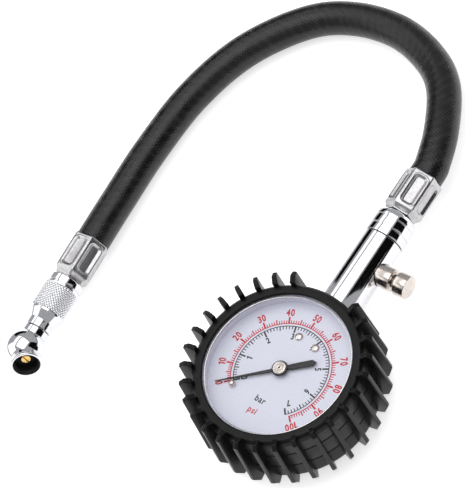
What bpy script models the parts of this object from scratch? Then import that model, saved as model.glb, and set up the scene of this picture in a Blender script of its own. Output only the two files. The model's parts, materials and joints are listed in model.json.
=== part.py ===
"""Dial pressure gauge for tyres: finned boot, chromed stem with a bleed button, hose and ball chuck.

The gauge lies on its back with the dial facing +Z. The origin is on the table under the middle of the
dial, and +Y runs from the dial along the stem. Lengths below are in millimetres; mm() turns them into metres.
"""

import math

import bmesh
import bpy
from mathutils import Matrix, Vector

# ---------------------------------------------------------------- driving dimensions, in millimetres
GAP = 0.3  # clearance between neighbouring pieces

GAUGE_TURN = math.radians(-1.8)  # the dial sits turned by this much against the stem

BOOT_INNER_R = 27.9
BOOT_OUTER_R = 29.5
BOOT_BACK = 2.0
BOOT_LIP_Z = 25.4
BOOT_LIP_R = 25.3
FIN_PITCH = 12.0  # degrees
FIN_FIRST, FIN_LAST = 2, 28  # fin numbers, counted from the stem, that leave room for it
FIN_THICK = 1.6

CASE_R = 27.6
CASE_WALL = 0.8
CASE_BOTTOM = BOOT_BACK + 0.4
CASE_TOP = 22.2
DIAL_Z = 20.0  # the printed face
DIAL_THICK = 0.5
DIAL_R = 26.4
LENS_R = 26.4
LENS_BOTTOM = 22.6
LENS_TOP = 24.0

NEEDLE_REST = math.radians(218.7)  # on the dial, counter-clockwise from 3 o'clock
NEEDLE_TRAVEL = math.radians(264)
NEEDLE_TIP = 22.2
NEEDLE_TAIL = 12.4
HUB_R = 2.8

STEM_Z = 11.2
STEM_R = 7.1
STEM_START = 28.2
STEM_END = 58.0
STEM_BORE_R = 3.0
SPIGOT_R = 4.85
COLLAR_R = 7.3
COLLAR_END = 67.7
BLEED_Y = 46.9

HEX_CORNER_R = 7.0
FERRULE_LENGTH = 15.2
FERRULE_START = 69.0
FERRULE_END = FERRULE_START + FERRULE_LENGTH
HOSE_R = 6.0

CHUCK_START = Vector((-97.3, 15.25, 7.2))  # the hose end of the chuck's ferrule
CHUCK_TURN = math.radians(3.3)  # the chuck's axis against -Y
BALL_AT = 44.5  # along the chuck's axis
BALL_R = 7.1
MOUTH_TILT = math.radians(45)
MOUTH_ROLL = math.radians(20.7)
MOUTH_RIM = 7.9  # from the ball's middle
MOUTH_BORE_R = 4.1

TUBE_R = 20.5  # centre line of the Bourdon tube
TUBE_Z = (6.0, 12.4)
PINION_TEETH = 12
SECTOR_TEETH = 72  # on a full turn, of which the sector carries a few
GEAR_MODULE = 0.25
SECTOR_AXIS_ANGLE = math.radians(-160)
SECTOR_TAIL = 4.2

PARTS = "tyre_pressure_gauge"


def mm(value):
    return value * 0.001


# ---------------------------------------------------------------- scene and helpers
def clear_scene():
    for obj in list(bpy.data.objects):
        bpy.data.objects.remove(obj, do_unlink=True)


def new_collection(name):
    collection = bpy.data.collections.new(name)
    bpy.context.scene.collection.children.link(collection)
    return collection


def material(name, colour, roughness, metallic=0.0):
    made = bpy.data.materials.new(name)
    made.use_nodes = True
    shader = made.node_tree.nodes["Principled BSDF"]
    shader.inputs["Base Color"].default_value = (*colour, 1.0)
    shader.inputs["Roughness"].default_value = roughness
    shader.inputs["Metallic"].default_value = metallic
    return made


def axis_empty(name, location, rotation=(0, 0, 0), parent=None):
    """An empty whose local Z is the axis that the pieces under it are built on."""
    empty = bpy.data.objects.new(name, None)
    empty.location = [mm(v) for v in location]
    empty.rotation_euler = rotation
    empty.parent = parent
    PARTS_IN.objects.link(empty)
    return empty


def add_object(name, mesh, look=None, parent=None, location=(0, 0, 0), rotation=(0, 0, 0)):
    """Links a mesh as a part, or as a hidden cutter when it has no look."""
    obj = bpy.data.objects.new(name, mesh)
    obj.location = [mm(v) for v in location]
    obj.rotation_euler = rotation
    obj.parent = parent
    if look is None:
        CUTTERS_IN.objects.link(obj)
        obj.hide_render = True
        obj.display_type = "WIRE"
    else:
        PARTS_IN.objects.link(obj)
        obj.data.materials.append(look)
    return obj


def shade(mesh, angle=35):
    mesh.shade_smooth()
    mesh.set_sharp_from_angle(angle=math.radians(angle))


def along(direction):
    """The rotation that lays a piece's own Z along world X or Y."""
    return {"X": (0, math.radians(90), 0), "Y": (math.radians(-90), 0, 0)}[direction]


def baked(obj):
    """The object's mesh with its modifiers applied, as a new mesh."""
    bpy.context.view_layer.update()
    graph = bpy.context.evaluated_depsgraph_get()
    return bpy.data.meshes.new_from_object(obj.evaluated_get(graph))


def turned_mesh(name, profile, steps):
    """Turns a profile of (radius, height) round Z. It runs down the outer side and, for a ring, up the inner."""
    ring = min(radius for radius, _ in profile) > 0
    mesh = bpy.data.meshes.new(name)
    count = len(profile)
    edges = [(i, (i + 1) % count) for i in range(count if ring else count - 1)]
    mesh.from_pydata([(mm(radius), 0, mm(height)) for radius, height in profile], edges, [])
    holder = bpy.data.objects.new(name + "_profile", mesh)
    CUTTERS_IN.objects.link(holder)
    screw = holder.modifiers.new("Turn", "SCREW")
    screw.axis = "Z"
    screw.steps = steps
    screw.render_steps = steps
    screw.use_merge_vertices = True
    screw.merge_threshold = 0.000001
    screw.use_normal_calculate = True
    made = baked(holder)
    made.name = name
    bpy.data.objects.remove(holder)
    outward(made)
    return made


def outward(mesh):
    """Welds the mesh's doubles and points its faces outward."""
    work = bmesh.new()
    work.from_mesh(mesh)
    bmesh.ops.remove_doubles(work, verts=work.verts, dist=0.000001)
    bmesh.ops.recalc_face_normals(work, faces=work.faces)
    work.to_mesh(mesh)
    work.free()


def turned(name, profile, look=None, steps=32, **place):
    mesh = turned_mesh(name, profile, steps)
    shade(mesh)
    return add_object(name, mesh, look, **place)


def rod(name, radius, low, high, look=None, steps=24, bevel=0.0, **place):
    """A round bar from height low to high, with its end edges chamfered by bevel."""
    profile = [(0, high), (radius - bevel, high)]
    if bevel:
        profile += [(radius, high - bevel), (radius, low + bevel)]
    else:
        profile += [(radius, low)]
    profile += [(radius - bevel, low), (0, low)] if bevel else [(0, low)]
    return turned(name, profile, look, steps, **place)


def tube(name, outer, inner, low, high, look=None, steps=32, **place):
    profile = [(outer, high), (outer, low), (inner, low), (inner, high)]
    return turned(name, profile, look, steps, **place)


def outline_mesh(name, points, low, high):
    """A flat outline, filled and given thickness from height low to high."""
    curve = bpy.data.curves.new(name, "CURVE")
    curve.dimensions = "2D"
    curve.fill_mode = "BOTH"
    curve.extrude = mm((high - low) / 2)
    spline = curve.splines.new("POLY")
    spline.points.add(len(points) - 1)
    for point, (x, y) in zip(spline.points, points):
        point.co = (mm(x), mm(y), 0, 1)
    spline.use_cyclic_u = True
    holder = bpy.data.objects.new(name + "_outline", curve)
    CUTTERS_IN.objects.link(holder)
    mesh = baked(holder)
    mesh.name = name
    mesh.transform(Matrix.Translation((0, 0, mm((high + low) / 2))))
    bpy.data.objects.remove(holder)
    outward(mesh)
    return mesh


def outline(name, points, low, high, look=None, **place):
    return add_object(name, outline_mesh(name, points, low, high), look, **place)


def block(name, low, high, look=None, bevel=0.0, **place):
    """A box between two corners."""
    work = bmesh.new()
    bmesh.ops.create_cube(work, size=1.0)
    size = [mm(b - a) for a, b in zip(low, high)]
    middle = [mm((a + b) / 2) for a, b in zip(low, high)]
    bmesh.ops.scale(work, vec=size, verts=work.verts)
    bmesh.ops.translate(work, vec=middle, verts=work.verts)
    if bevel:
        bmesh.ops.bevel(work, geom=work.edges[:], offset=mm(bevel), segments=2, affect="EDGES")
    mesh = bpy.data.meshes.new(name)
    work.to_mesh(mesh)
    work.free()
    return add_object(name, mesh, look, **place)


def boolean(target, operand, operation="DIFFERENCE"):
    modifier = target.modifiers.new(operation.title(), "BOOLEAN")
    modifier.operation = operation
    modifier.solver = "EXACT"
    modifier.object = operand


def cut(target, *cutters):
    for cutter in cutters:
        boolean(target, cutter)


def join(target, *others):
    for other in others:
        boolean(target, other, "UNION")


def wire(name, points, radius, look, parent=None, cyclic=False):
    """A round wire or hose through points, with closed ends."""
    curve = bpy.data.curves.new(name, "CURVE")
    curve.dimensions = "3D"
    curve.bevel_depth = mm(radius)
    curve.bevel_resolution = 2
    curve.use_fill_caps = True
    spline = curve.splines.new("POLY")
    spline.points.add(len(points) - 1)
    for item, point in zip(spline.points, points):
        item.co = (mm(point[0]), mm(point[1]), mm(point[2]), 1)
        item.radius = 1.0
    spline.use_cyclic_u = cyclic
    curve.materials.append(look)
    obj = bpy.data.objects.new(name, curve)
    obj.parent = parent
    PARTS_IN.objects.link(obj)
    return obj


def coil(radius, low, high, turns, per_turn=8):
    """Points along a helix round Z."""
    count = int(turns * per_turn)
    points = []
    for i in range(count + 1):
        angle = 2 * math.pi * turns * i / count
        height = low + (high - low) * i / count
        points.append((radius * math.cos(angle), radius * math.sin(angle), height))
    return points


def hull(discs, steps=14):
    """The convex outline round a set of discs given as (x, y, radius)."""
    points = []
    for x, y, radius in discs:
        for i in range(steps):
            angle = 2 * math.pi * i / steps
            points.append((x + radius * math.cos(angle), y + radius * math.sin(angle)))
    points.sort()

    def half(ordered):
        chain = []
        for point in ordered:
            while len(chain) > 1 and turn(chain[-2], chain[-1], point) <= 1e-9:
                chain.pop()
            chain.append(point)
        return chain[:-1]

    return half(points) + half(points[::-1])


def turn(a, b, c):
    return (b[0] - a[0]) * (c[1] - a[1]) - (b[1] - a[1]) * (c[0] - a[0])


def polar(radius, angle):
    return (radius * math.cos(angle), radius * math.sin(angle))


# ---------------------------------------------------------------- boot, case, dial and lens
def fin_outline():
    """One fin in the plane of radius and height: level at the front, widest near the back."""
    return [(28.5, 1.5), (31.5, 1.5), (33.8, 6.0), (32.7, 27.2), (30.7, 28.4), (28.3, 27.2)]


def make_fins():
    """All the fins as one hidden mesh, which the boot is joined with."""
    flat = outline_mesh("fin", fin_outline(), -FIN_THICK / 2, FIN_THICK / 2)
    stand_up = Matrix.Rotation(math.radians(90), 4, "X")
    work = bmesh.new()
    for number in range(FIN_FIRST, FIN_LAST + 1):
        copy = flat.copy()
        angle = math.radians(90 + number * FIN_PITCH)
        copy.transform(Matrix.Rotation(angle, 4, "Z") @ stand_up)
        work.from_mesh(copy)
        bpy.data.meshes.remove(copy)
    mesh = bpy.data.meshes.new("boot_fins")
    work.to_mesh(mesh)
    work.free()
    return add_object("boot_fins", mesh, rotation=(0, 0, GAUGE_TURN))


def make_boot():
    under_lip = BOOT_LIP_Z - 0.8
    profile = [
        (0, BOOT_BACK),
        (BOOT_INNER_R, BOOT_BACK),
        (BOOT_INNER_R, under_lip),
        (BOOT_LIP_R, under_lip),
        (BOOT_LIP_R, BOOT_LIP_Z - 0.3),
        (BOOT_LIP_R + 0.4, BOOT_LIP_Z),
        (28.0, BOOT_LIP_Z - 0.1),
        (29.0, BOOT_LIP_Z - 0.9),
        (BOOT_OUTER_R, BOOT_LIP_Z - 2.4),
        (BOOT_OUTER_R, 3.2),
        (28.2, 0.6),
        (27.2, 0),
        (0, 0),
    ]
    boot = turned("rubber_boot", profile, RUBBER, 48, rotation=(0, 0, GAUGE_TURN))
    join(boot, make_fins())
    hole = rod("stem_hole", STEM_R + 0.35, 20, 40, steps=40, location=(0, 0, STEM_Z),
               rotation=along("Y"))
    cut(boot, hole)


def make_case():
    inner = CASE_R - CASE_WALL
    floor = CASE_BOTTOM + CASE_WALL
    profile = [
        (0, floor),
        (inner, floor),
        (inner, CASE_TOP),
        (CASE_R, CASE_TOP),
        (CASE_R, CASE_BOTTOM + 1.5),
        (CASE_R - 1.5, CASE_BOTTOM),
        (0, CASE_BOTTOM),
    ]
    case = turned("case", profile, STEEL, 40)
    hole = rod("spigot_hole", SPIGOT_R + GAP, 20, 32, location=(0, 0, STEM_Z), rotation=along("Y"))
    cut(case, hole)


def make_front(dial_axis):
    """Dial, spacer, lens, bezel ring, screws and stop pin."""
    dial_back = DIAL_Z - DIAL_THICK
    dial = rod("dial_plate", DIAL_R, dial_back, DIAL_Z, WHITE, 48, parent=dial_axis)
    cut(dial, rod("arbor_hole", 1.3, dial_back - 1, DIAL_Z + 1, parent=dial_axis))
    tube("dial_spacer", DIAL_R, DIAL_R - 1.2, DIAL_Z + GAP, LENS_BOTTOM - GAP, WHITE, 48)
    rod("lens", LENS_R, LENS_BOTTOM, LENS_TOP, CLEAR, 48, bevel=0.3)
    tube("bezel_ring", CASE_R, LENS_R + GAP, CASE_TOP + GAP, BOOT_LIP_Z - 1.1, CHROME, 48)
    for number, (x, y) in enumerate(DIAL_SCREWS, 1):
        hole = rod(f"screw_hole_{number}", 0.95, dial_back - 1, DIAL_Z + 1, location=(x, y, 0),
                   parent=dial_axis)
        cut(dial, hole)
        profile = [(0, DIAL_Z + 0.8), (0.7, DIAL_Z + 0.75), (1.2, DIAL_Z + 0.55), (1.35, DIAL_Z + 0.3)]
        profile += [(0.65, DIAL_Z + 0.3), (0.65, dial_back - 3), (0, dial_back - 3)]
        turned(f"dial_screw_{number}", profile, NICKEL, 14, location=(x, y, 0), parent=dial_axis)
    x, y = polar(16.6, NEEDLE_REST + math.radians(6.3))
    cut(dial, rod("pin_hole", 0.9, dial_back - 1, DIAL_Z + 1, location=(x, y, 0), parent=dial_axis))
    profile = [(0, 21.9), (0.8, 21.7), (1.15, 21.2), (1.2, DIAL_Z + 0.3), (0.6, DIAL_Z + 0.3)]
    profile += [(0.6, dial_back - 0.6), (0, dial_back - 0.6)]
    turned("stop_pin", profile, NICKEL, 14, location=(x, y, 0), parent=dial_axis)


def make_needle(dial_axis):
    """The blade points along its own +X, so its turn is the angle it shows."""
    outline_points = [
        (NEEDLE_TIP, 0.18), (4.0, 0.6), (0, 0.7), (-2.0, 0.8), (-4.4, 1.05), (-NEEDLE_TAIL + 1.4, 1.15),
        (-NEEDLE_TAIL, 0),
    ]
    lower = [(x, -y) for x, y in outline_points[-2::-1]]
    blade = outline("needle", outline_points + lower, 20.9, 21.3, BLACK, parent=dial_axis,
                    rotation=(0, 0, NEEDLE_REST))
    join(blade, rod("blade_eye", 2.2, 20.9, 21.3, parent=dial_axis))
    cut(blade, rod("blade_hole", 1.3, 20, 22, parent=dial_axis))
    boss = [(0, 21.9), (HUB_R - 0.2, 21.9), (HUB_R, 21.7), (HUB_R, 21.6), (1.0, 21.6), (1.0, 20.6)]
    boss += [(0.62, 20.6), (0.62, 21.3), (0, 21.3)]
    turned("needle_hub", boss, BLACK, 24, parent=dial_axis)
    cap = [(0, 22.35), (1.9, 22.33), (2.3, 22.25), (2.3, 22.2), (0, 22.2)]
    turned("hub_cap", cap, NICKEL, 24, parent=dial_axis)


# ---------------------------------------------------------------- socket, pressure tube and movement
def make_socket(dial_axis):
    """The block that the pressure tube and the movement hang on, with the spigot that enters the stem."""
    socket = block("gauge_socket", (-6.4, 9.8, 5.0), (8.4, 20.0, 19.1), BRASS)
    spigot = rod("spigot", SPIGOT_R, 19, 38, steps=32, location=(0, 0, STEM_Z), rotation=along("Y"))
    join(socket, spigot)
    bore = rod("socket_bore", 1.5, 14, 40, location=(0, 0, STEM_Z), rotation=along("Y"))
    cut(socket, bore)
    for number, (x, y) in enumerate(DIAL_SCREWS, 1):
        cut(socket, rod(f"tap_hole_{number}", 0.95, 16, 20, location=(x, y, 0), parent=dial_axis))


def make_pressure_tube():
    """The C-shaped tube, from the socket's right side round to its closed tip on the left."""
    low, high = TUBE_Z
    half = 0.9
    profile = [(TUBE_R + half * 0.5, high), (TUBE_R + half, high - 1.6), (TUBE_R + half, low + 1.6)]
    profile += [(TUBE_R + half * 0.5, low), (TUBE_R - half * 0.5, low), (TUBE_R - half, low + 1.6)]
    profile += [(TUBE_R - half, high - 1.6), (TUBE_R - half * 0.5, high)]
    ring = turned("bourdon_tube", profile, BRASS, 36)
    wedge = [(0, 0)] + [polar(40, math.radians(angle)) for angle in (63, 110, 160)]
    gap = outline("tube_gap", wedge, 0, 20)
    cut(ring, gap)
    points = [polar(radius, math.radians(angle)) for radius, angle in
              ((21.4, 159.1), (21.4, 154), (16.6, 153), (15.2, 156), (15.2, 158.5), (19.0, 159.1))]
    outline("tube_end_cap", points, TUBE_Z[0], 9.2, BRASS)


def gear_outline(teeth_on_circle, count, outside_r, root_r, middle, closing=()):
    """Teeth on an arc about the angle middle, as trapezoids, ended by the points in closing."""
    pitch = 2 * math.pi / teeth_on_circle
    points = []
    for tooth in range(count):
        centre = middle + (tooth - (count - 1) / 2) * pitch
        points.append(polar(root_r, centre - 0.30 * pitch))
        points.append(polar(outside_r, centre - 0.13 * pitch))
        points.append(polar(outside_r, centre + 0.13 * pitch))
        points.append(polar(root_r, centre + 0.30 * pitch))
    return points + list(closing)


def make_movement():
    """Plates, pillars, sector, link, pinion and hairspring."""
    pinion_r = GEAR_MODULE * PINION_TEETH / 2
    sector_r = GEAR_MODULE * SECTOR_TEETH / 2
    sector_axis = axis_empty("sector_axis", (*polar(pinion_r + sector_r, SECTOR_AXIS_ANGLE), 0))
    x, y, _ = [v * 1000 for v in sector_axis.location]

    discs = [(px, py, 1.8) for px, py in PILLARS]
    for name, low, high in (("movement_plate_bottom", 5.0, 5.8), ("movement_plate_top", 12.8, 13.6)):
        plate = outline(name, hull(discs), low, high, BRASS)
        cut(plate, rod(name + "_arbor_hole", 0.9, low - 1, high + 1))
        cut(plate, rod(name + "_sector_hole", 0.9, low - 1, high + 1, parent=sector_axis))
    for number, (px, py) in enumerate(PILLARS, 1):
        rod(f"plate_pillar_{number}", 1.2, 5.8 + GAP, 12.8 - GAP, BRASS, 16, location=(px, py, 0))

    # The pinion and its arbor, which carries the needle.
    # Its teeth are counted from a tooth, which stands in the sector's gap on the line of centres.
    tooth_at = SECTOR_AXIS_ANGLE + math.pi / PINION_TEETH
    teeth = gear_outline(PINION_TEETH, PINION_TEETH, pinion_r + 0.18, pinion_r - 0.32, tooth_at)
    arbor = outline("pinion_arbor", teeth, 7.2, 9.6, STEEL)
    join(arbor, rod("arbor_shaft", 0.6, 4.6, 20.9, steps=16))

    # The sector gear: at rest it stands half its travel to one side of the line of centres.
    travel = NEEDLE_TRAVEL * PINION_TEETH / SECTOR_TEETH
    pitch = 2 * math.pi / SECTOR_TEETH
    toward = SECTOR_AXIS_ANGLE + math.pi
    count = 16
    # With an even count of teeth, a gap stands on the arc's middle and takes the pinion's tooth.
    middle = toward - round(travel / 2 / pitch) * pitch
    back = middle + math.pi
    tail = polar(SECTOR_TAIL, back)
    shoulder = math.atan2(0.9, SECTOR_TAIL)
    closing = [
        polar(1.7, middle + math.radians(70)),
        polar(SECTOR_TAIL, back - shoulder),
        polar(SECTOR_TAIL + 1.0, back),
        polar(SECTOR_TAIL, back + shoulder),
        polar(1.7, middle - math.radians(70)),
    ]
    shape = gear_outline(SECTOR_TEETH, count, sector_r + 0.18, sector_r - 0.32, middle, closing)
    sector = outline("sector_gear", shape, 8.0, 8.8, BRASS, parent=sector_axis)
    join(sector, rod("sector_shaft", 0.6, 4.6, 14.0, steps=16, parent=sector_axis))
    pin = rod("sector_pin", 0.45, 8.4, 10.6, steps=12, location=(*tail, 0), parent=sector_axis)
    join(sector, pin)

    # The link runs from the sector's tail to the pressure tube's end cap.
    link_axis = axis_empty("link_axis", (x + tail[0], y + tail[1], 0))
    tip = Vector(polar(16.6, math.radians(156))) - Vector((x + tail[0], y + tail[1]))
    link_axis.rotation_euler = (0, 0, math.atan2(tip.y, tip.x))
    bar = hull([(0, 0, 1.3), (tip.length, 0, 1.3)])
    link = outline("link", bar, 9.5, 10.1, STEEL, parent=link_axis)
    cut(link, rod("link_hole", 0.75, 9, 11, steps=16, parent=link_axis))
    cut(link, rod("link_far_hole", 0.5, 9, 11, steps=16, parent=link_axis, location=(tip.length, 0, 0)))

    spiral = []
    for i in range(29):
        angle = 2 * math.pi * i / 10
        spiral.append((*polar(1.1 + 0.11 * i, angle), 11.4))
    wire("hairspring", spiral, 0.12, STEEL)


# ---------------------------------------------------------------- stem, check valve and bleed valve
def make_stem(stem_axis):
    """A chromed tube, counterbored for the gauge's spigot and for the end cap."""
    socket_depth, cap_depth = 39.0, 49.5
    profile = [
        (STEM_R - 0.3, STEM_END),
        (STEM_R, STEM_END - 0.3),
        (STEM_R, STEM_START + 0.4),
        (STEM_R - 0.4, STEM_START),
        (SPIGOT_R + GAP, STEM_START),
        (SPIGOT_R + GAP, socket_depth),
        (STEM_BORE_R, socket_depth),
        (STEM_BORE_R, cap_depth),
        (5.3, cap_depth),
        (5.3, STEM_END - 1.4),
        (6.4, STEM_END - 1.4),
        (6.4, STEM_END),
    ]
    stem = turned("stem_body", profile, CHROME, 40, parent=stem_axis)
    bleed = {"location": (0, BLEED_Y, STEM_Z), "rotation": along("X")}
    cut(stem, rod("bleed_port", 2.3 + GAP, 0, 9, **bleed), rod("spot_face", 4.25, 5.55, 9, steps=24, **bleed))
    tube("stem_seal", 6.2, 5.3, STEM_END - 1.1, STEM_END - 0.1, RUBBER, 24, parent=stem_axis)

    def groove(height):
        return [(COLLAR_R, height + 0.3), (COLLAR_R - 0.35, height), (COLLAR_R, height - 0.3)]

    start = STEM_END + GAP
    profile = [(COLLAR_R - 1.3, COLLAR_END), (COLLAR_R - 0.3, COLLAR_END - 0.8), (COLLAR_R, COLLAR_END - 1.8)]
    profile += groove(64.6) + groove(61.2)
    profile += [(COLLAR_R, start + 0.2), (COLLAR_R - 0.2, start), (5.0, start), (5.0, 50.0), (3.1, 50.0)]
    profile += [(3.1, COLLAR_END)]
    turned("stem_end_cap", profile, CHROME, 36, parent=stem_axis)

    # The check valve stands in the end cap's bore and opens towards the gauge.
    body = [(2.8, 61.5), (2.8, 51.0), (0.95, 51.0), (0.95, 51.6), (1.9, 51.6), (1.9, 57.5), (0.9, 58.5)]
    body += [(0.9, 61.5)]
    turned("check_valve_body", body, BRASS, 16, parent=stem_axis)
    pin = [(0, 61.0), (0.5, 61.0), (0.5, 57.6), (1.4, 56.7), (1.4, 56.0), (0.6, 56.0), (0.6, 52.5), (0, 52.5)]
    turned("check_valve_pin", pin, BRASS, 12, parent=stem_axis)
    wire("check_valve_spring", coil(1.15, 52.0, 55.6, 3), 0.18, STEEL, parent=stem_axis)


def make_bleed_valve():
    """Built along its own Z, which lies along world +X."""
    axis = axis_empty("bleed_axis", (0, BLEED_Y, STEM_Z), along("X"))
    body = [
        (3.6, 11.7), (3.9, 11.4), (3.9, 6.1), (3.7, 5.9), (2.3, 5.9), (2.3, 3.7), (1.15, 3.7), (1.15, 8.0),
        (2.2, 8.0), (2.2, 11.7),
    ]
    turned("bleed_body", body, NICKEL, 24, parent=axis)
    button = [
        (0, 17.9), (3.7, 17.9), (4.0, 17.6), (4.0, 13.8), (3.75, 13.4), (1.9, 13.4), (1.9, 11.2), (0.8, 11.2),
        (0.8, 3.0), (1.6, 3.0), (1.6, 2.3), (0, 2.3),
    ]
    turned("bleed_button", button, NICKEL, 24, parent=axis)
    tube("bleed_seal", 1.6, 0.95, 3.1, 3.5, RUBBER, 16, parent=axis)
    wire("bleed_spring", coil(1.5, 8.35, 10.85, 3), 0.2, STEEL, parent=axis)


# ---------------------------------------------------------------- hose and its fittings
def make_ferrule(name, low, high, roll, parent):
    """A crimped hexagonal sleeve. One flat faces away at the angle roll."""
    work = bmesh.new()
    bmesh.ops.create_cone(work, cap_ends=True, segments=6, radius1=mm(HEX_CORNER_R),
                          radius2=mm(HEX_CORNER_R), depth=mm(high - low))
    bmesh.ops.rotate(work, verts=work.verts, matrix=Matrix.Rotation(roll, 3, "Z"))
    bmesh.ops.translate(work, verts=work.verts, vec=(0, 0, mm((high + low) / 2)))
    bmesh.ops.bevel(work, geom=work.edges[:], offset=mm(0.45), segments=2, affect="EDGES")
    mesh = bpy.data.meshes.new(name)
    work.to_mesh(mesh)
    work.free()
    ferrule = add_object(name, mesh, ALUMINIUM, parent=parent)
    cut(ferrule, rod(name + "_bore", 3.0, low - 1, high + 1, parent=parent))


def barb_profile(low, high, barb_low, barb_high, flange=None):
    """A nipple with three barbs between two heights, and a flange (radius, low, high) if one is given."""
    step = (barb_high - barb_low) / 3
    profile = [(2.3, high)]
    for number in range(3):
        top = barb_high - number * step
        profile += [(2.35, top), (2.7, top - step * 0.7), (2.3, top - step * 0.75)]
    if flange:
        radius, flange_low, flange_high = flange
        profile += [(2.3, flange_high), (radius, flange_high), (radius, flange_low), (2.7, flange_low)]
    profile += [(2.7 if flange else 2.3, low), (1.3, low), (1.3, high)]
    return profile


def hose_route():
    """Points every two diameters or so along a smooth curve through the route's own points."""
    straight = 4
    start = Vector((0, FERRULE_END + GAP, STEM_Z))
    first = start + Vector((0, straight, 0))
    middle = [
        (-5.0, 102.3, 10.4), (-14.9, 118.4, 8.4), (-27.1, 127.5, 6.9), (-43.5, 132.4, 6.25), (-61.5, 130.6, 6.1),
        (-76.6, 122.4, 6.1), (-91.0, 103.6, 6.1), (-98.3, 80.3, 6.1), (-99.8, 55.5, 6.15), (-98.6, 32.75, 6.7),
    ]
    direction = Vector((math.sin(CHUCK_TURN), -math.cos(CHUCK_TURN), 0))
    end = CHUCK_START - direction * GAP
    last = end - direction * straight
    points = [first] + [Vector(p) for p in middle] + [last]
    dense = []
    for i in range(len(points) - 1):
        before = points[max(i - 1, 0)]
        after = points[min(i + 2, len(points) - 1)]
        for j in range(20):
            dense.append(catmull(before, points[i], points[i + 1], after, j / 20))
    dense.append(points[-1])
    return [start] + spaced(dense, 12) + [end]


def catmull(before, start, end, after, t):
    """A point on the smooth curve from start to end."""
    return 0.5 * (
        2 * start
        + (end - before) * t
        + (2 * before - 5 * start + 4 * end - after) * t * t
        + (3 * start - before - 3 * end + after) * t * t * t
    )


def spaced(points, count):
    """The polyline read again at evenly spaced places."""
    lengths = [0.0]
    for a, b in zip(points, points[1:]):
        lengths.append(lengths[-1] + (b - a).length)
    result = []
    for i in range(count + 1):
        wanted = lengths[-1] * i / count
        k = max(j for j in range(len(points) - 1) if lengths[j] <= wanted or j == 0)
        share = (wanted - lengths[k]) / (lengths[k + 1] - lengths[k])
        result.append(points[k].lerp(points[k + 1], share))
    return result


def make_hose(stem_axis, chuck_axis):
    make_ferrule("hose_ferrule_gauge", FERRULE_START, FERRULE_END, GAUGE_FERRULE_ROLL, stem_axis)
    make_ferrule("hose_ferrule_chuck", 0, FERRULE_LENGTH, CHUCK_FERRULE_ROLL, chuck_axis)
    profile = barb_profile(62.0, FERRULE_END - 0.2, FERRULE_START + 1, FERRULE_END - 0.5)
    turned("hose_barb_gauge", profile, BRASS, 16, parent=stem_axis)
    # The chuck's nipple is built from its far end, so its heights run against the chuck's axis.
    nipple_axis = axis_empty("nipple_axis", (0, 0, 0), (math.radians(180), 0, 0), chuck_axis)
    profile = barb_profile(-29.5, -0.2, -FERRULE_LENGTH + 1, -0.5, (4.6, -16.3, -FERRULE_LENGTH - GAP))
    nipple = turned("hose_barb_chuck", profile, BRASS, 16, parent=nipple_axis)
    cut(nipple, tube("clip_groove", 4, 2.2, 24.6, 25.8, parent=chuck_axis))
    wire("hose", hose_route(), HOSE_R, RUBBER)


# ---------------------------------------------------------------- chuck
def make_chuck(chuck_axis):
    """Sleeve, ball head with its slanted mouth, seal, depressor, swivel seal and clip."""
    neck = 36.4
    sleeve = [
        (3.5, neck), (4.75, neck), (4.75, 33.6), (6.2, 30.6), (6.35, 30.0), (6.35, 19.5), (5.9, 19.3), (5.9, 19.0),
        (6.35, 18.8), (6.35, 17.2), (5.8, 16.7), (3.1, 16.7), (3.1, 30.0), (3.5, 30.0),
    ]
    turned("knurled_sleeve", sleeve, CHROME, 32, parent=chuck_axis)

    head = rod("chuck_head", 3.2, 31.0, BALL_AT - 3, CHROME, 24, parent=chuck_axis)
    join(head, rod("head_neck", 4.6, neck + GAP, BALL_AT - 2, steps=24, parent=chuck_axis))
    half = 12
    arc = [(BALL_R * math.sin(math.pi * i / half), BALL_AT + BALL_R * math.cos(math.pi * i / half))
           for i in range(half + 1)]
    arc[0] = (0, arc[0][1])
    arc[-1] = (0, arc[-1][1])
    join(head, turned("head_ball", arc, None, 28, parent=chuck_axis))
    mouth = axis_empty("mouth_axis", (0, 0, BALL_AT), (0, MOUTH_TILT, MOUTH_ROLL), chuck_axis)
    rim = [(0, MOUTH_RIM), (5.2, MOUTH_RIM), (5.5, MOUTH_RIM - 0.3), (5.5, MOUTH_RIM - 1.0)]
    rim += [(5.1, MOUTH_RIM - 1.4), (5.1, 2), (0, 2)]
    join(head, turned("mouth_lip", rim, None, 28, parent=mouth))
    bore = [(0, 9), (MOUTH_BORE_R, 9), (MOUTH_BORE_R, 1.2), (1.4, 1.2), (1.4, -2.6), (0, -2.6)]
    cut(head, turned("mouth_bore", bore, None, 28, parent=mouth))
    cut(head, rod("air_bore", 1.3, 28, BALL_AT, steps=16, parent=chuck_axis))

    tube("chuck_seal", 3.8, 2.1, 1.5, 3.9, RUBBER, 24, parent=mouth)
    depressor = [(0, 4.3), (1.55, 4.3), (1.75, 4.1), (1.75, 1.5), (1.1, 1.5), (1.1, -2.2), (0, -2.2)]
    pin = turned("chuck_depressor", depressor, BRASS, 16, parent=mouth)
    cut(pin, block("driver_slot", (-0.28, -3, 3.3), (0.28, 3, 6), parent=mouth))
    tube("swivel_seal", 3.0, 2.3 + 0.45, 26.6, 27.6, RUBBER, 16, parent=chuck_axis)
    tube("swivel_clip", 3.0, 2.3, 25.0, 25.4, STEEL, 16, parent=chuck_axis)


# ---------------------------------------------------------------- the whole object
DIAL_SCREWS = [(-1.75, 12.8), (5.7, 11.9)]
PILLARS = [(4.2, 7.6), (4.2, -4.5), (-8.5, -12.5), (-11.0, 7.6)]
# A hexagon's corner stands at roll, so a flat faces at roll plus half a side.
GAUGE_FERRULE_ROLL = math.radians(30 - 90 + 20.4)
CHUCK_FERRULE_ROLL = math.radians(30 + 90 + 4.8)

clear_scene()
PARTS_IN = new_collection(PARTS)
CUTTERS_IN = new_collection("cutters")

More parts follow.
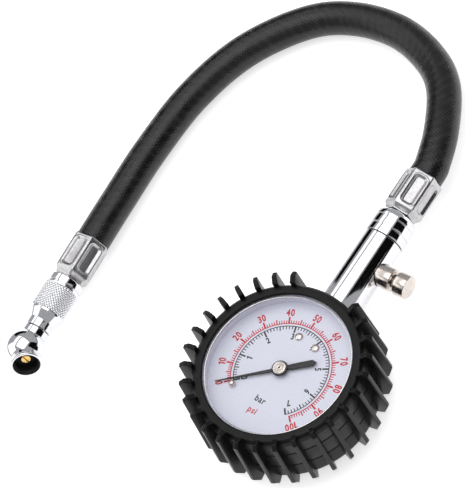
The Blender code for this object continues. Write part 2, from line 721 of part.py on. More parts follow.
RUBBER = material("black_rubber", (0.012, 0.012, 0.013), 0.5)
CHROME = material("chrome", (0.8, 0.8, 0.82), 0.08, 1.0)
NICKEL = material("nickel", (0.62, 0.57, 0.52), 0.2, 1.0)
ALUMINIUM = material("aluminium", (0.7, 0.7, 0.72), 0.3, 1.0)
STEEL = material("steel", (0.5, 0.5, 0.52), 0.35, 1.0)
BRASS = material("brass", (0.7, 0.5, 0.2), 0.3, 1.0)
WHITE = material("white_enamel", (0.85, 0.85, 0.88), 0.5)
BLACK = material("black_enamel", (0.01, 0.01, 0.01), 0.4)
CLEAR = material("clear_plastic", (0.95, 0.96, 0.97), 0.05)

DIAL_AXIS = axis_empty("dial_axis", (0, 0, 0), (0, 0, GAUGE_TURN))
STEM_AXIS = axis_empty("stem_axis", (0, 0, STEM_Z), along("Y"))
CHUCK_AXIS = axis_empty("chuck_axis", CHUCK_START, (math.radians(90), 0, CHUCK_TURN))

make_boot()
make_case()
make_front(DIAL_AXIS)
make_needle(DIAL_AXIS)
make_socket(DIAL_AXIS)
make_pressure_tube()
make_movement()
make_stem(STEM_AXIS)
make_bleed_valve()
make_hose(STEM_AXIS, CHUCK_AXIS)
make_chuck(CHUCK_AXIS)
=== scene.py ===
# %% [markdown]
# # A dial pressure gauge for tyres
#
# The real object is a hand gauge: a dial in a finned rubber boot, a chromed stem with a bleed button on its
# side, a short rubber hose between two crimped ferrules, and a ball chuck that is pushed onto a tyre valve.
#
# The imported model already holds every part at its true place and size, and every joint. This lesson builds
# the looks around it: finer shapes that stand for the visible parts, and a finish for each of them.

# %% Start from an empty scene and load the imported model
import json
from math import cos, hypot, pi, radians, sin, tan

import bmesh
import bpy
from mathutils import Euler, Matrix, Vector

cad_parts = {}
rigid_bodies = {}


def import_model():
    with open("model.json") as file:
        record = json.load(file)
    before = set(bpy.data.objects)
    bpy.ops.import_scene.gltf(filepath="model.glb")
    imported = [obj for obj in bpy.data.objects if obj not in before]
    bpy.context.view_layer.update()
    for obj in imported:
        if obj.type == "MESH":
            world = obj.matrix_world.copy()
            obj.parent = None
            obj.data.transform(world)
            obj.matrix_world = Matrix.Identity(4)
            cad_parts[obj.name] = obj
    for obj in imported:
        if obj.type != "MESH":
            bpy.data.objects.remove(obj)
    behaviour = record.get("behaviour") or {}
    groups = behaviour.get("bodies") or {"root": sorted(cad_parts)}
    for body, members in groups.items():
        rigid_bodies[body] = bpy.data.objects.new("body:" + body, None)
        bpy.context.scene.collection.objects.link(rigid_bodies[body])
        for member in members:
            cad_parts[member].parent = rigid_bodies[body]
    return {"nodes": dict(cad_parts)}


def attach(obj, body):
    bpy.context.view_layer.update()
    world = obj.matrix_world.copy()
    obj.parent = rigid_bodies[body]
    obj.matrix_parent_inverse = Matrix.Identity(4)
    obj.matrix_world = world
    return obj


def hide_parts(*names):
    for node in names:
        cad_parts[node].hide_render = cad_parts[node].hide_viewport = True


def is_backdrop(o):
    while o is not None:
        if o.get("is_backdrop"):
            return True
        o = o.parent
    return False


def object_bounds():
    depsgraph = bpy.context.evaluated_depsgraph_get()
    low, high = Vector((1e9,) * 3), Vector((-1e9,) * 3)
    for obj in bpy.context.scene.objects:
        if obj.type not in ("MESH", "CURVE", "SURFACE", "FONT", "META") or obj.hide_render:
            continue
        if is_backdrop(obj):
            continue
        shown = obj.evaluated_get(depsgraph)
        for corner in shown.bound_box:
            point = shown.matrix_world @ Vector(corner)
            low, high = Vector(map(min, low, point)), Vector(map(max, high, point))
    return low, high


for leftover in list(bpy.data.objects):
    bpy.data.objects.remove(leftover, do_unlink=True)

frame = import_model()
CAD_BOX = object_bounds()
nodes = frame["nodes"]

# %% [markdown]
# ## Where things stand
#
# Lengths are written in millimetres and turned into metres where a mesh is made. Each round part is drawn
# upright on its own axis and then laid in its place by one matrix. An object could be moved instead, but
# patterns that read object coordinates would then slide, so the place goes into the mesh.

# %% Units and places
def mm(value):
    return value * 0.001


def turned_to(location, angles):
    """A place whose own Z is a part's axis: a location in millimetres and three angles in degrees."""
    turn = Euler([radians(a) for a in angles]).to_matrix().to_4x4()
    return Matrix.Translation([mm(v) for v in location]) @ turn


# %% [markdown]
# A few steps come up again and again: putting an object in the scene, drawing a box or a plate, and reading
# back the mesh that modifiers leave.

# %% Helpers for objects and meshes
def in_scene(name, data):
    """A new object in the scene that holds this data."""
    obj = bpy.data.objects.new(name, data)
    bpy.context.scene.collection.objects.link(obj)
    return obj


def mesh_of(work):
    """The mesh that was drawn, and the drawing is let go."""
    mesh = bpy.data.meshes.new("drawn")
    work.to_mesh(mesh)
    work.free()
    return mesh


def box_mesh(size, centre):
    """A box, with its size and its centre in millimetres."""
    work = bmesh.new()
    bmesh.ops.create_cube(work, size=1)
    bmesh.ops.scale(work, vec=[mm(v) for v in size], verts=work.verts)
    bmesh.ops.translate(work, vec=[mm(v) for v in centre], verts=work.verts)
    return mesh_of(work)


def raised_from(outline, low, thickness):
    """An outline raised into a plate: the drawing, and the points of its upper face."""
    work = bmesh.new()
    base = work.faces.new([work.verts.new((mm(x), mm(y), mm(low))) for x, y in outline])
    made = bmesh.ops.extrude_face_region(work, geom=[base])["geom"]
    upper = [v for v in made if isinstance(v, bmesh.types.BMVert)]
    bmesh.ops.translate(work, vec=(0, 0, mm(thickness)), verts=upper)
    return work, upper


def evaluated(obj, *helpers):
    """The mesh that an object's modifiers leave. The object and its helpers are removed."""
    bpy.context.view_layer.update()
    graph = bpy.context.evaluated_depsgraph_get()
    mesh = bpy.data.meshes.new_from_object(obj.evaluated_get(graph))
    for used in (obj, *helpers):
        bpy.data.objects.remove(used, do_unlink=True)
    return mesh


# %% [markdown]
# These are the places that the parts are built on. Each one's Z is the axis of a round part.

# %% The axes of the parts
DIAL_TURN = -1.8
STEM_HEIGHT = 11.2
BLEED_AT = 46.9
BALL_AT = 44.5
UPRIGHT = Matrix.Identity(4)
DIAL = turned_to((0, 0, 0), (0, 0, DIAL_TURN))
STEM = turned_to((0, 0, STEM_HEIGHT), (-90, 0, 0))
BLEED = turned_to((0, BLEED_AT, STEM_HEIGHT), (0, 90, 0))
CHUCK = turned_to((-97.3, 15.25, 7.2), (90, 0, 3.3))
MOUTH = CHUCK @ turned_to((0, 0, BALL_AT), (0, 45, 20.7))
print("ball centre, mm:", [round(v * 1000, 2) for v in MOUTH.translation])

# %% [markdown]
# ## Camera
#
# The gauge lies on its back, and the camera looks down on it from the front right, far enough away for a long
# lens. A long lens keeps the dial nearly as wide at the back as at the front. The three axes say how the
# camera is held: what is right, what is up, and what lies behind it.

# %% Camera
RIGHT = (0.78472, 0.5425, -0.29984)
UP = (-0.36531, 0.79557, 0.48333)
BACK = (0.50075, -0.26975, 0.82249)
lens = bpy.data.cameras.new("camera")
lens.lens = 221.3
lens.sensor_width = 36
lens.clip_start = 0.01
lens.clip_end = 20
camera = in_scene("camera", lens)
camera.matrix_world = Matrix((RIGHT, UP, BACK)).transposed().to_4x4()
camera.location = (0.459043, -0.237936, 0.843327)
bpy.context.scene.camera = camera
print("camera distance, m:", round(camera.location.length, 3))

# %% [markdown]
# ## Finishes
#
# Each finish is a small node tree. A base colour alone looks like a toy, so every one also has what the real
# surface has: grain in the rubber, faint smears on the chrome, specks in the paint. The patterns read object
# coordinates, in metres, so a scale of 1000 puts one feature in every millimetre, on every part alike.

# %% Helpers that build a finish
def new_look(name, metallic, roughness, colour=(0.8, 0.8, 0.8)):
    """A material, its node tree and its shader, with the values that are the same all over."""
    look = bpy.data.materials.new(name)
    look.use_nodes = True
    shader = look.node_tree.nodes["Principled BSDF"]
    shader.inputs["Metallic"].default_value = metallic
    shader.inputs["Roughness"].default_value = roughness
    shader.inputs["Base Color"].default_value = (*colour, 1)
    return look, look.node_tree, shader


def add(tree, kind, inputs=None, **settings):
    """A node with its settings, and its inputs given as values or as sockets to link."""
    node = tree.nodes.new(kind)
    for key, value in settings.items():
        setattr(node, key, value)
    for key, value in (inputs or {}).items():
        if isinstance(value, bpy.types.NodeSocket):
            tree.links.new(value, node.inputs[key])
        else:
            node.inputs[key].default_value = value
    return node


def calculate(tree, operation, *values):
    return add(tree, "ShaderNodeMath", dict(enumerate(values)), operation=operation).outputs[0]


def place_on(tree, source="Object", scale=(1, 1, 1)):
    coordinates = add(tree, "ShaderNodeTexCoord")
    return add(tree, "ShaderNodeMapping", {0: coordinates.outputs[source], "Scale": scale}).outputs[0]


def noise(tree, where, scale, detail=3, roughness=0.5):
    values = {"Vector": where, "Scale": scale, "Detail": detail, "Roughness": roughness}
    return add(tree, "ShaderNodeTexNoise", values).outputs["Fac"]


def between(tree, value, low, high, start=0.3, end=0.7):
    """A value that runs from start to end, spread from low to high."""
    values = {"Value": value, "From Min": start, "From Max": end, "To Min": low, "To Max": high}
    return add(tree, "ShaderNodeMapRange", values).outputs[0]


def mixed(tree, share, first, second):
    node = add(tree, "ShaderNodeMix", {0: share}, data_type="RGBA")
    for index, colour in ((6, first), (7, second)):
        if isinstance(colour, bpy.types.NodeSocket):
            tree.links.new(colour, node.inputs[index])
        else:
            node.inputs[index].default_value = (*colour, 1)
    return node.outputs[2]


def bump(tree, height, depth_mm, strength=1.0, below=None):
    values = {"Height": height, "Distance": mm(depth_mm), "Strength": strength}
    if below:
        values["Normal"] = below
    return add(tree, "ShaderNodeBump", values).outputs[0]



def wired(look, colour, roughness, normal):
    """The look, with its three patterns linked to its shader."""
    shader = look.node_tree.nodes["Principled BSDF"]
    for name, socket in (("Base Color", colour), ("Roughness", roughness), ("Normal", normal)):
        look.node_tree.links.new(socket, shader.inputs[name])
    return look


# %% [markdown]
# Moulded rubber is black with a soft grain from the mould. It is a little greyer and drier in patches where
# it has been handled, so one slow noise drives both the colour and the roughness.

# %% Rubber
def rubber_look(name, grain, dark, light, rough):
    look, tree, shader = new_look(name, 0.0, rough[0])
    shader.inputs["Specular IOR Level"].default_value = 0.2
    where = place_on(tree)
    patches = noise(tree, where, 160, 4, 0.6)
    fine = noise(tree, where, grain, 3, 0.6)
    dusty = calculate(tree, "MULTIPLY", patches, fine)
    colour = mixed(tree, between(tree, dusty, 0, 1, 0.12, 0.45), dark, light)
    return wired(look, colour, between(tree, patches, *rough), bump(tree, fine, 0.035))


BOOT_RUBBER = rubber_look("boot_rubber", 2600, (0.003, 0.003, 0.003), (0.010, 0.010, 0.010), (0.24, 0.4))
SEAL_RUBBER = rubber_look("seal_rubber", 4200, (0.005, 0.005, 0.005), (0.02, 0.02, 0.021), (0.42, 0.6))
print("rubber made")

# %% [markdown]
# The hose is cured in a cloth wrap, and the cloth leaves its weave on the rubber. That pattern follows the
# hose, so it reads the tube's own UV map: across runs round the hose and up runs along it, both in metres.
# Two sets of ridges cross at a slant, and noise breaks them up so that they fade in and out.

# %% Hose rubber
def hose_look():
    look, tree, shader = new_look("wrapped_rubber", 0.0, 0.4)
    shader.inputs["Specular IOR Level"].default_value = 0.42
    where = place_on(tree, "UV")
    threads = []
    for slant, scale in ((38, 330), (-52, 330), (62, 105)):
        turned = add(tree, "ShaderNodeMapping", {0: where, "Rotation": (0, 0, radians(slant))})
        values = {"Vector": turned.outputs[0], "Scale": scale, "Distortion": 1.6, "Detail": 2}
        threads.append(add(tree, "ShaderNodeTexWave", values, wave_profile="SIN").outputs["Fac"])
    cloth = calculate(tree, "MULTIPLY", threads[0], threads[1])
    cloth = calculate(tree, "MULTIPLY_ADD", threads[2], 0.7, cloth)
    cloth = calculate(tree, "MULTIPLY", cloth, between(tree, noise(tree, where, 260, 3), 0.1, 1.0))
    patches = noise(tree, place_on(tree), 140, 4, 0.6)
    share = between(tree, cloth, 0, 1, 0.1, 0.9)
    colour = mixed(tree, share, (0.0035, 0.0035, 0.0035), (0.014, 0.014, 0.014))
    return wired(look, colour, between(tree, patches, 0.22, 0.38), bump(tree, cloth, 0.09, 0.9))


HOSE_RUBBER = hose_look()

# %% [markdown]
# Plated and bare metals share one recipe: a reflecting base whose roughness is smeared by a slow noise,
# with a faint ripple in the surface. Chrome is nearly a mirror, nickel is warmer and softer, and the
# pressed ferrules ripple the most. Turned metal gets fine rings as well, from a stretched noise.

# %% Metals
def metal_look(name, tint, stain, rough, ripple, grain=420, tool_marks=0.0):
    look, tree, _ = new_look(name, 1.0, rough[0])
    where = place_on(tree)
    smears = noise(tree, where, 90, 4, 0.55)
    specks = noise(tree, where, 1400, 2)
    share = calculate(tree, "MULTIPLY", smears, specks)
    colour = mixed(tree, between(tree, share, 0, 1, 0.15, 0.42), tint, stain)
    normal = bump(tree, noise(tree, where, grain, 2), ripple)
    if tool_marks:
        lines = noise(tree, place_on(tree, scale=(0.15, 1, 0.15)), 5200, 2)
        normal = bump(tree, lines, tool_marks, below=normal)
    return wired(look, colour, between(tree, smears, *rough), normal)


CHROME = metal_look("mirror_chrome", (0.80, 0.80, 0.82), (0.70, 0.70, 0.73), (0.035, 0.09), 0.0012)
NICKEL = metal_look("warm_nickel", (0.74, 0.68, 0.64), (0.58, 0.51, 0.46), (0.14, 0.26), 0.002, 700, 0.0008)
FERRULE_METAL = metal_look("ferrule_metal", (0.56, 0.55, 0.56), (0.40, 0.39, 0.40), (0.22, 0.34), 0.008, 620)
BRASS = metal_look("bare_brass", (0.80, 0.58, 0.22), (0.58, 0.37, 0.12), (0.18, 0.32), 0.003, 900, 0.002)
STEEL = metal_look("bare_steel", (0.52, 0.52, 0.54), (0.38, 0.38, 0.40), (0.24, 0.38), 0.004, 800, 0.002)
print("metals made")

# %% [markdown]
# The dial is a stamped plate with a baked white paint, and the scale is printed on it in red and black ink.
# The noise gives the paint pinholes and a slightly uneven film. The white is faintly violet, because such
# paint is tinted against yellowing.

# %% Paints and inks
def paint_look(name, colour, speck, rough, grain=1800, depth=0.004):
    look, tree, _ = new_look(name, 0.0, rough[0])
    where = place_on(tree)
    film = noise(tree, where, 240, 3)
    fine = noise(tree, where, grain, 3, 0.65)
    specked = mixed(tree, between(tree, fine, 0, 1, 0.45, 0.8), colour, speck)
    return wired(look, specked, between(tree, film, *rough), bump(tree, fine, depth))


DIAL_WHITE = paint_look("dial_white", (0.76, 0.765, 0.87), (0.68, 0.69, 0.81), (0.35, 0.5))
WALL_WHITE = paint_look("wall_white", (0.78, 0.78, 0.87), (0.68, 0.68, 0.80), (0.3, 0.45))
INK_RED = paint_look("ink_red", (0.60, 0.012, 0.02), (0.50, 0.03, 0.035), (0.4, 0.55), 3000)
INK_BLACK = paint_look("ink_black", (0.012, 0.012, 0.014), (0.04, 0.04, 0.045), (0.4, 0.55), 3000)
NEEDLE_BLACK = paint_look("needle_black", (0.006, 0.006, 0.007), (0.02, 0.02, 0.022), (0.28, 0.42), 2200)
print("paints made")

# %% [markdown]
# The lens is clear plastic. It is seen only by what it reflects, so the shader is a mirror whose cover
# follows Fresnel's rule: almost nothing face on, more at a slant. A solid block of glass would make the
# dial dark. The rule is written as the fifth power of the slant, because a Fresnel node turns the lens's
# underside into a full mirror.

# %% Clear lens
def lens_look():
    look, tree, shader = new_look("clear_plastic", 1.0, 0.02, (0.95, 0.96, 1.0))
    slant = add(tree, "ShaderNodeLayerWeight", {"Blend": 0.5}).outputs["Facing"]
    fresnel = calculate(tree, "MULTIPLY_ADD", calculate(tree, "POWER", slant, 5.0), 0.9, 0.013)
    scuffs = between(tree, noise(tree, place_on(tree), 60, 4), 0.0, 0.02, 0.45, 0.8)
    cover = add(tree, "ShaderNodeMath", {0: fresnel, 1: scuffs}, operation="ADD", use_clamp=True).outputs[0]
    tree.links.new(cover, shader.inputs["Alpha"])
    wave = noise(tree, place_on(tree), 45, 2)
    tree.links.new(bump(tree, wave, 0.01), shader.inputs["Normal"])
    return look


CLEAR_LENS = lens_look()

# %% [markdown]
# ## Shapes that are turned
#
# Most parts of a gauge come off a lathe, so one helper turns a profile of radius and height into a closed
# mesh. It is the tiny round on each edge that catches the light, so a second helper rounds a profile's
# corners before it is turned. A Bevel modifier could do it, but it slows down on fine meshes and needs care
# at the poles.

# %% Turning and rounding
def softened(profile, radius, ring):
    """The profile with its corners rounded. The end points of an open profile stay where they are."""
    points = [Vector(p) for p in profile]
    count = len(points)
    made = []
    for i, point in enumerate(points):
        if not ring and i in (0, count - 1):
            made.append(point)
            continue
        back = points[i - 1] - point
        ahead = points[(i + 1) % count] - point
        if back.angle(-ahead) < radians(6):
            made.append(point)
            continue
        start = point + back.normalized() * min(radius, back.length * 0.45)
        end = point + ahead.normalized() * min(radius, ahead.length * 0.45)
        for k in range(4):
            t = k / 3
            made.append(start * (1 - t) ** 2 + point * 2 * t * (1 - t) + end * t * t)
    return [tuple(p) for p in made]


def finish_mesh(mesh, angle=38):
    """Welds doubles, points faces outward and shades smooth between sharp edges."""
    work = bmesh.new()
    work.from_mesh(mesh)
    bmesh.ops.remove_doubles(work, verts=work.verts, dist=1e-7)
    bmesh.ops.recalc_face_normals(work, faces=work.faces)
    work.to_mesh(mesh)
    work.free()
    mesh.shade_smooth()
    mesh.set_sharp_from_angle(angle=radians(angle))
    return mesh


def grid_mesh(rows, round_rows=True, closed_ends=False, uv=None):
    """A skin over rows of points. Rows close on themselves, and the ends are filled or join up."""
    mesh = bpy.data.meshes.new("skin")
    across = len(rows[0])
    points = [tuple(mm(v) for v in p) for row in rows for p in row]
    faces = []
    last = len(rows) if round_rows and not closed_ends else len(rows) - 1
    for j in range(last):
        k = (j + 1) % len(rows)
        for i in range(across):
            n = (i + 1) % across
            faces.append((j * across + i, j * across + n, k * across + n, k * across + i))
    if closed_ends:
        faces.append(tuple(range(across))[::-1])
        faces.append(tuple((len(rows) - 1) * across + i for i in range(across)))
    mesh.from_pydata(points, [], faces)
    if uv:
        layer = mesh.uv_layers.new(name="along")
        for polygon in mesh.polygons:
            for order, loop in enumerate(polygon.loop_indices):
                j, i = divmod(polygon.vertices[order], across)
                wraps = i == 0 and max(v % across for v in polygon.vertices) == across - 1
                layer.data[loop].uv = uv(j, across if wraps else i)
    return mesh


def ring_of_points(radius, height, count):
    turns = [2 * pi * i / count for i in range(count)]
    return [(radius * cos(a), radius * sin(a), height) for a in turns]


def lathe(profile, soft=0.12, steps=128):
    """A closed turned mesh round Z. A profile that never touches the axis is a ring."""
    ring = min(r for r, _ in profile) > 0
    if soft:
        profile = softened(profile, soft, ring)
    rows = [ring_of_points(r, z, steps) for r, z in profile]
    return finish_mesh(grid_mesh(rows, round_rows=ring))


def disc(radius, low, high, edge=0.1):
    """A solid round bar's profile."""
    if not edge:
        return [(0, high), (radius, high), (radius, low), (0, low)]
    inner = radius - edge
    return [(0, high), (inner, high), (radius, high - edge), (radius, low + edge), (inner, low), (0, low)]


GAUGE = "gauge_body"


def piece(name, mesh, place, look, *stands_for, body=GAUGE):
    """A finished piece: its place goes into the mesh, and it rides on a body and stands for CAD nodes."""
    mesh.transform(place)
    mesh.name = name
    give(mesh, look)
    obj = in_scene(name, mesh)
    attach(obj, body)
    if stands_for:
        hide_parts(*stands_for)
    return obj


def give(mesh, look):
    mesh.materials.clear()
    mesh.materials.append(look)


def carved(mesh, *tools, operation="DIFFERENCE"):
    """The mesh with each tool mesh cut out of it, or joined to it."""
    target = in_scene("carving", mesh)
    helpers = [in_scene("carving_tool", tool) for tool in tools]
    for helper in helpers:
        modifier = target.modifiers.new("Carve", "BOOLEAN")
        modifier.operation = operation
        modifier.solver = "EXACT"
        modifier.object = helper
    return finish_mesh(evaluated(target, *helpers))


# %% [markdown]
# ## Hose
#
# The hose is a real length of stiff rubber tube, seen from end to end. It leaves the stem's ferrule
# straight, dips to the table, turns through a wide bend and runs back to the chuck. A few
# points fix that route, and a smooth curve runs through them. The tube is a mesh along the curve, because
# its weave needs a UV map that follows it.

# %% The hose's route
HOSE_RADIUS = 6.0
HOSE_START = Vector((0, 84.5, STEM_HEIGHT))
HOSE_END = Vector(CHUCK @ Vector((0, 0, mm(-0.3)))) * 1000
ROUTE = [
    (-5.0, 102.3, 10.4), (-14.9, 118.4, 8.4), (-27.1, 127.5, 6.9), (-43.5, 132.4, 6.25), (-61.5, 130.6, 6.1),
    (-76.6, 122.4, 6.1), (-91.0, 103.6, 6.1), (-98.3, 80.3, 6.1), (-99.8, 55.5, 6.15), (-98.6, 32.75, 6.7),
]
LEAD_IN = 4.0
CURVE_STEPS = 16
HOSE_STRETCHES = 150


def on_curve(before, start, end, after, t):
    """A point on the smooth curve from start to end, which leans towards the points on either side."""
    return 0.5 * (
        2 * start
        + (end - before) * t
        + (2 * before - 5 * start + 4 * end - after) * t * t
        + (3 * start - before - 3 * end + after) * t * t * t
    )


def evenly(points, count):
    """The same line, read again at evenly spaced places."""
    lengths = [0.0]
    for a, b in zip(points, points[1:]):
        lengths.append(lengths[-1] + (b - a).length)
    made = []
    k = 0
    for i in range(count + 1):
        wanted = lengths[-1] * i / count
        while k < len(points) - 2 and lengths[k + 1] < wanted:
            k += 1
        made.append(points[k].lerp(points[k + 1], (wanted - lengths[k]) / (lengths[k + 1] - lengths[k])))
    return made


def hose_line():
    into_chuck = (CHUCK.to_3x3() @ Vector((0, 0, 1))).normalized()
    knots = [HOSE_START + Vector((0, LEAD_IN, 0))]
    knots += [Vector(p) for p in ROUTE]
    knots.append(HOSE_END - into_chuck * LEAD_IN)
    line = [HOSE_START]
    for i in range(len(knots) - 1):
        before = knots[max(i - 1, 0)]
        after = knots[min(i + 2, len(knots) - 1)]
        shares = [j / CURVE_STEPS for j in range(CURVE_STEPS)]
        line += [on_curve(before, knots[i], knots[i + 1], after, share) for share in shares]
    return evenly(line + [knots[-1], HOSE_END], HOSE_STRETCHES)


def length_of(line):
    return sum((b - a).length for a, b in zip(line, line[1:]))


hose_path = hose_line()
print("hose length, mm:", round(length_of(hose_path), 1))

# %% [markdown]
# A tube needs a frame at each point of its line, and the frame must not twist. Each one is the frame before
# it, turned by the small angle between one stretch and the next.

# %% The hose as a tube
def tube_mesh(line, radius, sides=48):
    rows = []
    ahead = (line[1] - line[0]).normalized()
    across = ahead.orthogonal().normalized()
    for i, point in enumerate(line):
        new = (line[min(i + 1, len(line) - 1)] - line[max(i - 1, 0)]).normalized()
        across = (ahead.rotation_difference(new) @ across).normalized()
        ahead = new
        other = ahead.cross(across)
        turns = [2 * pi * k / sides for k in range(sides)]
        rows.append([point + radius * (cos(a) * across + sin(a) * other) for a in turns])
    step = length_of(line) / (len(line) - 1)

    def along(j, i):
        return (mm(2 * pi * radius * i / sides), mm(step * j))

    return grid_mesh(rows, closed_ends=True, uv=along)


hose_mesh = finish_mesh(tube_mesh(hose_path, HOSE_RADIUS))
hose = piece("hose_tube", hose_mesh, UPRIGHT, HOSE_RUBBER, "hose")
print("hose triangles:", len(hose.data.polygons) * 2)

# %% [markdown]
# ## Copies in a ring
#
# Fins, scale marks and other repeats stand in a ring. One Geometry Nodes tree does them all: it sets points
# down, puts a copy of the incoming shape on each, turns it by its number, makes the copies real and gives
# them their finish.

# %% A Geometry Nodes tree for copies in a ring
def new_tree(name, sockets):
    """A node tree with its named inputs, and its input and output nodes."""
    tree = bpy.data.node_groups.new(name, "GeometryNodeTree")
    tree.interface.new_socket("Geometry", in_out="OUTPUT", socket_type="NodeSocketGeometry")
    tree.interface.new_socket("Geometry", in_out="INPUT", socket_type="NodeSocketGeometry")
    for label, kind in sockets.items():
        tree.interface.new_socket(label, in_out="INPUT", socket_type="NodeSocket" + kind)
    return tree, tree.nodes.new("NodeGroupInput").outputs, tree.nodes.new("NodeGroupOutput").inputs


def end_tree(tree, geometry, given, result):
    """Ends a tree: copies are made real, and get their finish."""
    real = add(tree, "GeometryNodeRealizeInstances", {"Geometry": geometry}).outputs[0]
    coloured = add(tree, "GeometryNodeSetMaterial", {"Geometry": real, "Material": given["Material"]})
    tree.links.new(coloured.outputs[0], result[0])
    return tree


def ring_tree():
    tree, given, result = new_tree(
        "copies_in_a_ring", {"Count": "Int", "Start": "Float", "Step": "Float", "Material": "Material"}
    )
    points = add(tree, "GeometryNodePoints", {"Count": given["Count"]}).outputs[0]
    number = add(tree, "GeometryNodeInputIndex").outputs[0]
    angle = calculate(tree, "MULTIPLY_ADD", number, given["Step"], given["Start"])
    turn = add(tree, "ShaderNodeCombineXYZ", {"Z": angle}).outputs[0]
    values = {"Points": points, "Instance": given["Geometry"], "Rotation": turn}
    copies = add(tree, "GeometryNodeInstanceOnPoints", values).outputs[0]
    return end_tree(tree, copies, given, result)


def grown(mesh, tree, **inputs):
    """The mesh that the tree makes from this one, as a plain mesh."""
    holder = in_scene("growing", mesh)
    modifier = holder.modifiers.new("Grow", "NODES")
    modifier.node_group = tree
    for item in tree.interface.items_tree:
        if item.in_out == "INPUT" and item.name in inputs:
            modifier[item.identifier] = inputs[item.name]
    return evaluated(holder)


def merged(*meshes):
    """Several meshes as one."""
    work = bmesh.new()
    for mesh in meshes:
        work.from_mesh(mesh)
    return mesh_of(work)


RING = ring_tree()

# %% [markdown]
# ## Rubber boot
#
# The boot is a moulded cup that grips the gauge's can. Its lip folds over the lens, and its side carries
# twenty-seven fins, with room left where the stem comes out. The cup is turned, with two shallow grooves
# round it, and then one fin is drawn, rounded at its edges and copied round the ring.

# %% The boot's cup
LIP_TOP = 25.4
boot_profile = [
    (0, 2.0), (27.9, 2.0), (27.9, 24.6), (25.3, 24.6), (25.3, LIP_TOP - 0.4), (25.8, LIP_TOP),
    (28.0, LIP_TOP - 0.1), (29.0, LIP_TOP - 0.9), (29.5, LIP_TOP - 2.4),
]
for groove in (17.6, 10.0):
    boot_profile += [(29.5, groove + 0.35), (29.2, groove + 0.1), (29.2, groove - 0.1), (29.5, groove - 0.35)]
boot_profile += [(29.5, 3.2), (28.2, 0.6), (27.2, 0), (0, 0)]
cup = lathe(boot_profile, soft=0.22, steps=160)
stem_hole = lathe(disc(7.45, 20, 40, 0), soft=0, steps=96)
stem_hole.transform(STEM)
cup = carved(cup, stem_hole)
piece("boot_cup", cup, DIAL, BOOT_RUBBER, "rubber_boot")
print("boot cup faces:", len(cup.polygons))

# %% The boot's fins
FIN_OUTLINE = [(28.5, 1.5), (31.5, 1.5), (33.8, 6.0), (32.7, 27.2), (30.7, 28.4), (28.3, 27.2)]
FIN_THICKNESS = 1.7
FIN_STEP = 12
FIN_COUNT = 27


def fin_mesh():
    """One fin along +X, thicker at its root than at its rim, with rounded edges."""
    work = bmesh.new()
    sides = []
    for side in (-1, 1):
        taper = [FIN_THICKNESS / 2 * (1.12 - 0.05 * (r - 28.3)) for r, _ in FIN_OUTLINE]
        sides.append([work.verts.new((mm(r), side * mm(t), mm(z))) for (r, z), t in zip(FIN_OUTLINE, taper)])
    count = len(FIN_OUTLINE)
    work.faces.new(sides[0])
    work.faces.new(sides[1][::-1])
    for i in range(count):
        k = (i + 1) % count
        work.faces.new((sides[0][i], sides[0][k], sides[1][k], sides[1][i]))
    bmesh.ops.recalc_face_normals(work, faces=work.faces)
    bmesh.ops.bevel(work, geom=work.edges[:], offset=mm(0.34), segments=3, profile=0.6, affect="EDGES")
    return finish_mesh(mesh_of(work), 50)


first_fin = radians(90 + 2 * FIN_STEP)
fin_step = radians(FIN_STEP)
fins = grown(fin_mesh(), RING, Count=FIN_COUNT, Start=first_fin, Step=fin_step, Material=BOOT_RUBBER)
piece("boot_fins", fins, DIAL, BOOT_RUBBER, "rubber_boot")
print("fins:", FIN_COUNT, "faces:", len(fins.polygons))

# %% [markdown]
# ## Dial
#
# The white plate stays as it was built. A pale ring stands on it as the wall between dial and lens, and a
# thin bright ring holds the lens. Both are turned again here with more sides, because their round edges are
# what the eye reads.

# %% The wall, the bright ring and the lens
DIAL_FACE = 20.0
LENS_BOTTOM, LENS_TOP = 22.6, 24.0
give(nodes["dial_plate"].data, DIAL_WHITE)
WALL_LOW, WALL_TOP = DIAL_FACE + 0.05, LENS_BOTTOM - 0.05
wall = [(26.4, WALL_LOW), (26.4, WALL_TOP), (25.2, WALL_TOP), (25.0, WALL_LOW)]
piece("dial_wall", lathe(wall, 0.1, 180), UPRIGHT, WALL_WHITE, "dial_spacer")
holder = [(27.6, 22.5), (27.6, 24.3), (26.75, 24.3), (26.75, 22.5)]
piece("lens_ring", lathe(holder, 0.1, 180), UPRIGHT, CHROME, "bezel_ring")
BEAD_LOW, BEAD_TOP = LENS_TOP + 0.02, LENS_TOP + 0.3
bead = [(24.95, BEAD_LOW), (24.95, BEAD_TOP), (24.6, BEAD_TOP), (24.5, BEAD_LOW)]
piece("lens_bead", lathe(bead, 0.08, 180), UPRIGHT, CHROME)
glass = [(0, LENS_TOP), (26.1, LENS_TOP), (26.4, LENS_TOP - 0.3), (26.4, LENS_BOTTOM + 0.3),
         (26.1, LENS_BOTTOM), (0, LENS_BOTTOM)]
piece("clear_lens", lathe(glass, 0, 180), UPRIGHT, CLEAR_LENS, "lens")
print("lens and rings made")

# %% [markdown]
# ## Scale
#
# The pressure scale runs clockwise from the lower left to the lower right. The red marks outside count
# pounds per square inch, and the black ones inside count bar. The first interval of each is shorter,
# because the movement starts late from its stop. A mark is one small bar, copied round the ring, and every
# fifth and tenth is longer and wider. The ink is a solid film a few hundredths of a millimetre thick.

# %% Marks of the two scales
ZERO = 225.0
PRINTED_ZERO = 219.5
PSI_STEP = 2.7
BAR_STEP = PSI_STEP * 14.504
RED_RING = 17.0
BLACK_RING = 16.35
INK = 0.03
INK_LOW = DIAL_FACE + 0.004


def bar_mesh(start, end, width, top):
    """A thin printed bar along +X, on the dial's face."""
    return box_mesh((end - start, width, top), ((start + end) / 2, 0, INK_LOW + top / 2))


